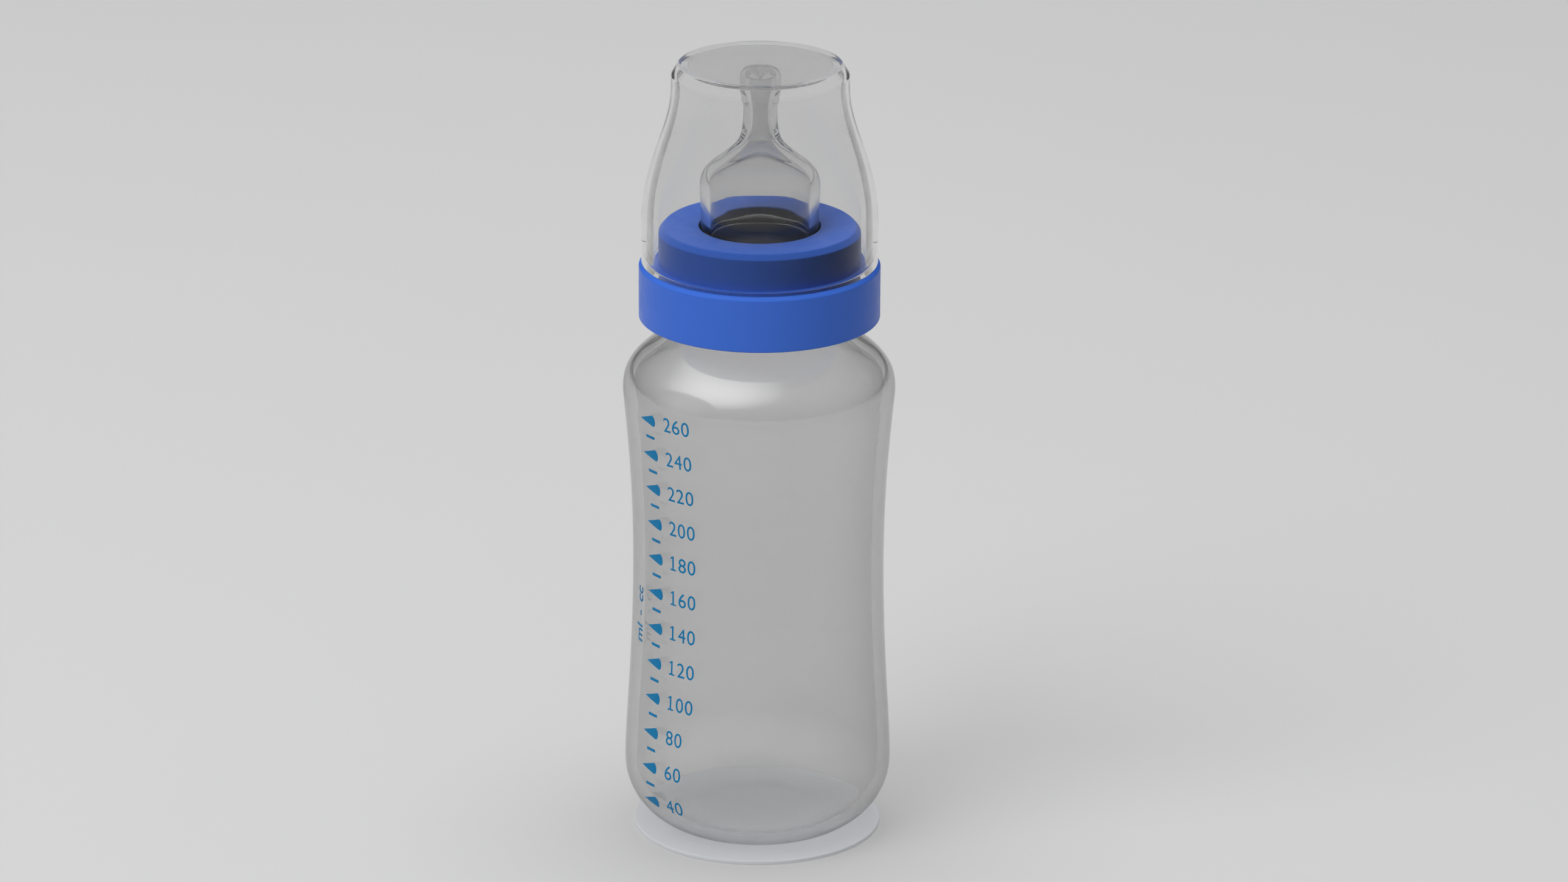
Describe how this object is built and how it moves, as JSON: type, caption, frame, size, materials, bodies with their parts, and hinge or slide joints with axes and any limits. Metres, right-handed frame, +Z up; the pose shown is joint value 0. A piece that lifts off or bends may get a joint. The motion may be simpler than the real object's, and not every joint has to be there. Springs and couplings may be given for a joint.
{
  "type": "baby bottle",
  "caption": "Clear wide-neck baby bottle with a slim waist, a two-step screw ring, a clear teat, a clear hood and a clear foot disc.",
  "frame": {"origin": "centre of the face the foot disc stands on, on the bottle's axis", "axes": "+Z up along the bottle's axis towards the hood; +X to the right and -Y towards a viewer who sees the printed scale left of centre"},
  "size_m": [0.0634, 0.0634, 0.1866],
  "materials": {
    "soft_foot": "satin, translucent silicone",
    "clear_glass": "polished, clear, with printed blue scale",
    "silicone": "satin, clear silicone",
    "blue_plastic": "satin moulded polypropylene",
    "clear_plastic": "gloss, clear moulded plastic"
  },
  "bodies": {
    "foot": {"foot_disc": "soft_foot"},
    "bottle": {"bottle": "clear_glass"},
    "teat": {"teat": "silicone"},
    "ring": {"screw_ring": "blue_plastic"},
    "hood": {"hood": "clear_plastic"}
  },
  "joints": [
    {"name": "bottle_lift", "type": "slide", "parent": "foot", "child": "bottle", "axis": [0, 0, 1], "range_m": [0, 0.06]},
    {"name": "teat_rise", "type": "slide", "parent": "bottle", "child": "teat", "axis": [0, 0, 1], "range_m": [0, 0.0068]},
    {"name": "ring_unscrew", "type": "hinge", "parent": "teat", "child": "ring", "pos_m": [0, 0, 0.1478], "axis": [0, 0, 1], "range_deg": [0, 540]},
    {"name": "hood_lift", "type": "slide", "parent": "ring", "child": "hood", "axis": [0, 0, 1], "range_m": [0, 0.06]}
  ],
  "couplings": [
    {"joint": "teat_rise", "follows": "ring_unscrew", "m_per_rad": 0.0007162}
  ]
}
